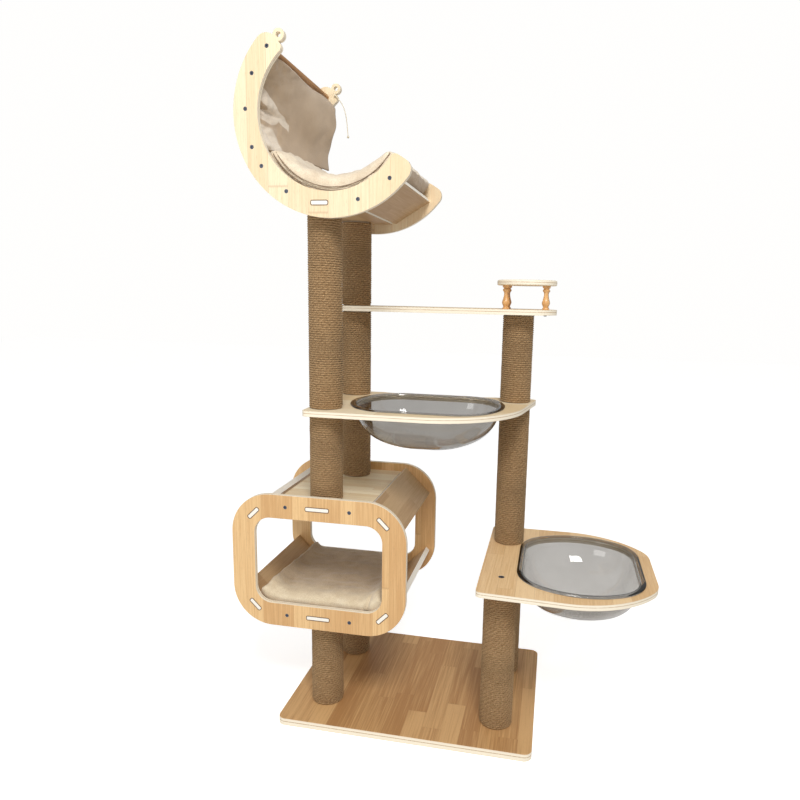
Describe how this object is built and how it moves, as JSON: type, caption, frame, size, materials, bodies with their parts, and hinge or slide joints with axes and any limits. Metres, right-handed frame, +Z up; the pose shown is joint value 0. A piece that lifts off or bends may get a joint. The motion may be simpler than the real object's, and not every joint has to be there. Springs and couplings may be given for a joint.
{
  "type": "cat tree",
  "caption": "Free-standing cat tree: roped posts on a plate, with a box cabin, shelves with clear bowls, a small perch and a crescent bed.",
  "frame": {"origin": "middle of the base plate's underside, on the floor", "axes": "+Z up, +X towards the side with the lower bowl shelf, +Y to the rear; the crescent bed and cabin stand on the left posts"},
  "size_m": [1.1461, 0.524, 1.8026],
  "materials": {
    "warm_wood": "satin oiled rubberwood staves",
    "pale_wood": "satin pale ply",
    "turned_wood": "satin varnish",
    "plug_wood": "raw",
    "tube": "raw paper tube",
    "rope": "wound jute rope",
    "steel": "zinc plated",
    "plush": "short cream plush",
    "suede": "taupe suede cloth",
    "string": "cotton cord",
    "clear_bowl": "smoky clear acrylic"
  },
  "bodies": {
    "tree": {"base_bolts": "steel", "base_plate": "warm_wood", "bed_back_rail": "warm_wood", "bed_bolts": "steel", "bed_cross_nuts": "steel", "bed_drape": "suede", "bed_front_board": "warm_wood", "bed_front_panel": "pale_wood", "bed_lower_back_board": "warm_wood", "bed_mat": "plush", "bed_rear_panel": "pale_wood", "bed_seat_board": "warm_wood", "bed_top_rail": "warm_wood", "bed_upper_back_board": "warm_wood", "cabin_bolts": "steel", "cabin_bottom_board": "warm_wood", "cabin_cross_nuts": "steel", "cabin_front_panel": "warm_wood", "cabin_lower_left_board": "warm_wood", "cabin_lower_right_board": "warm_wood", "cabin_mat": "plush", "cabin_rear_panel": "warm_wood", "cabin_top_board": "warm_wood", "cabin_upper_left_board": "warm_wood", "cabin_upper_right_board": "warm_wood", "front_left_lower_core": "tube", "front_left_lower_rope": "rope", "front_left_middle_core": "tube", "front_left_middle_rope": "rope", "front_left_upper_core": "tube", "front_left_upper_rope": "rope", "front_right_lower_core": "tube", "front_right_lower_rope": "rope", "joining_studs": "steel", "middle_shelf": "pale_wood", "perch_disc": "pale_wood", "perch_screws": "steel", "perch_spindles": "turned_wood", "post_bolts": "steel", "post_plugs": "plug_wood", "rear_left_lower_core": "tube", "rear_left_lower_rope": "rope", "rear_left_middle_core": "tube", "rear_left_middle_rope": "rope", "rear_left_top_core": "tube", "rear_left_top_rope": "rope", "rear_left_upper_core": "tube", "rear_left_upper_rope": "rope", "rear_right_lower_core": "tube", "rear_right_lower_rope": "rope", "rear_right_middle_core": "tube", "rear_right_middle_rope": "rope", "rear_right_upper_core": "tube", "rear_right_upper_rope": "rope", "right_shelf": "warm_wood", "string_knots": "string", "top_shelf": "pale_wood", "toy_string": "string"},
    "right_bowl": {"right_bowl": "clear_bowl"},
    "middle_bowl": {"middle_bowl": "clear_bowl"}
  },
  "joints": [
    {"name": "right_bowl_lift", "type": "slide", "parent": "tree", "child": "right_bowl", "axis": [0, 0, 1], "range_m": [0, 0.2]},
    {"name": "middle_bowl_lift", "type": "slide", "parent": "tree", "child": "middle_bowl", "axis": [0, 0, 1], "range_m": [0, 0.2]}
  ]
}
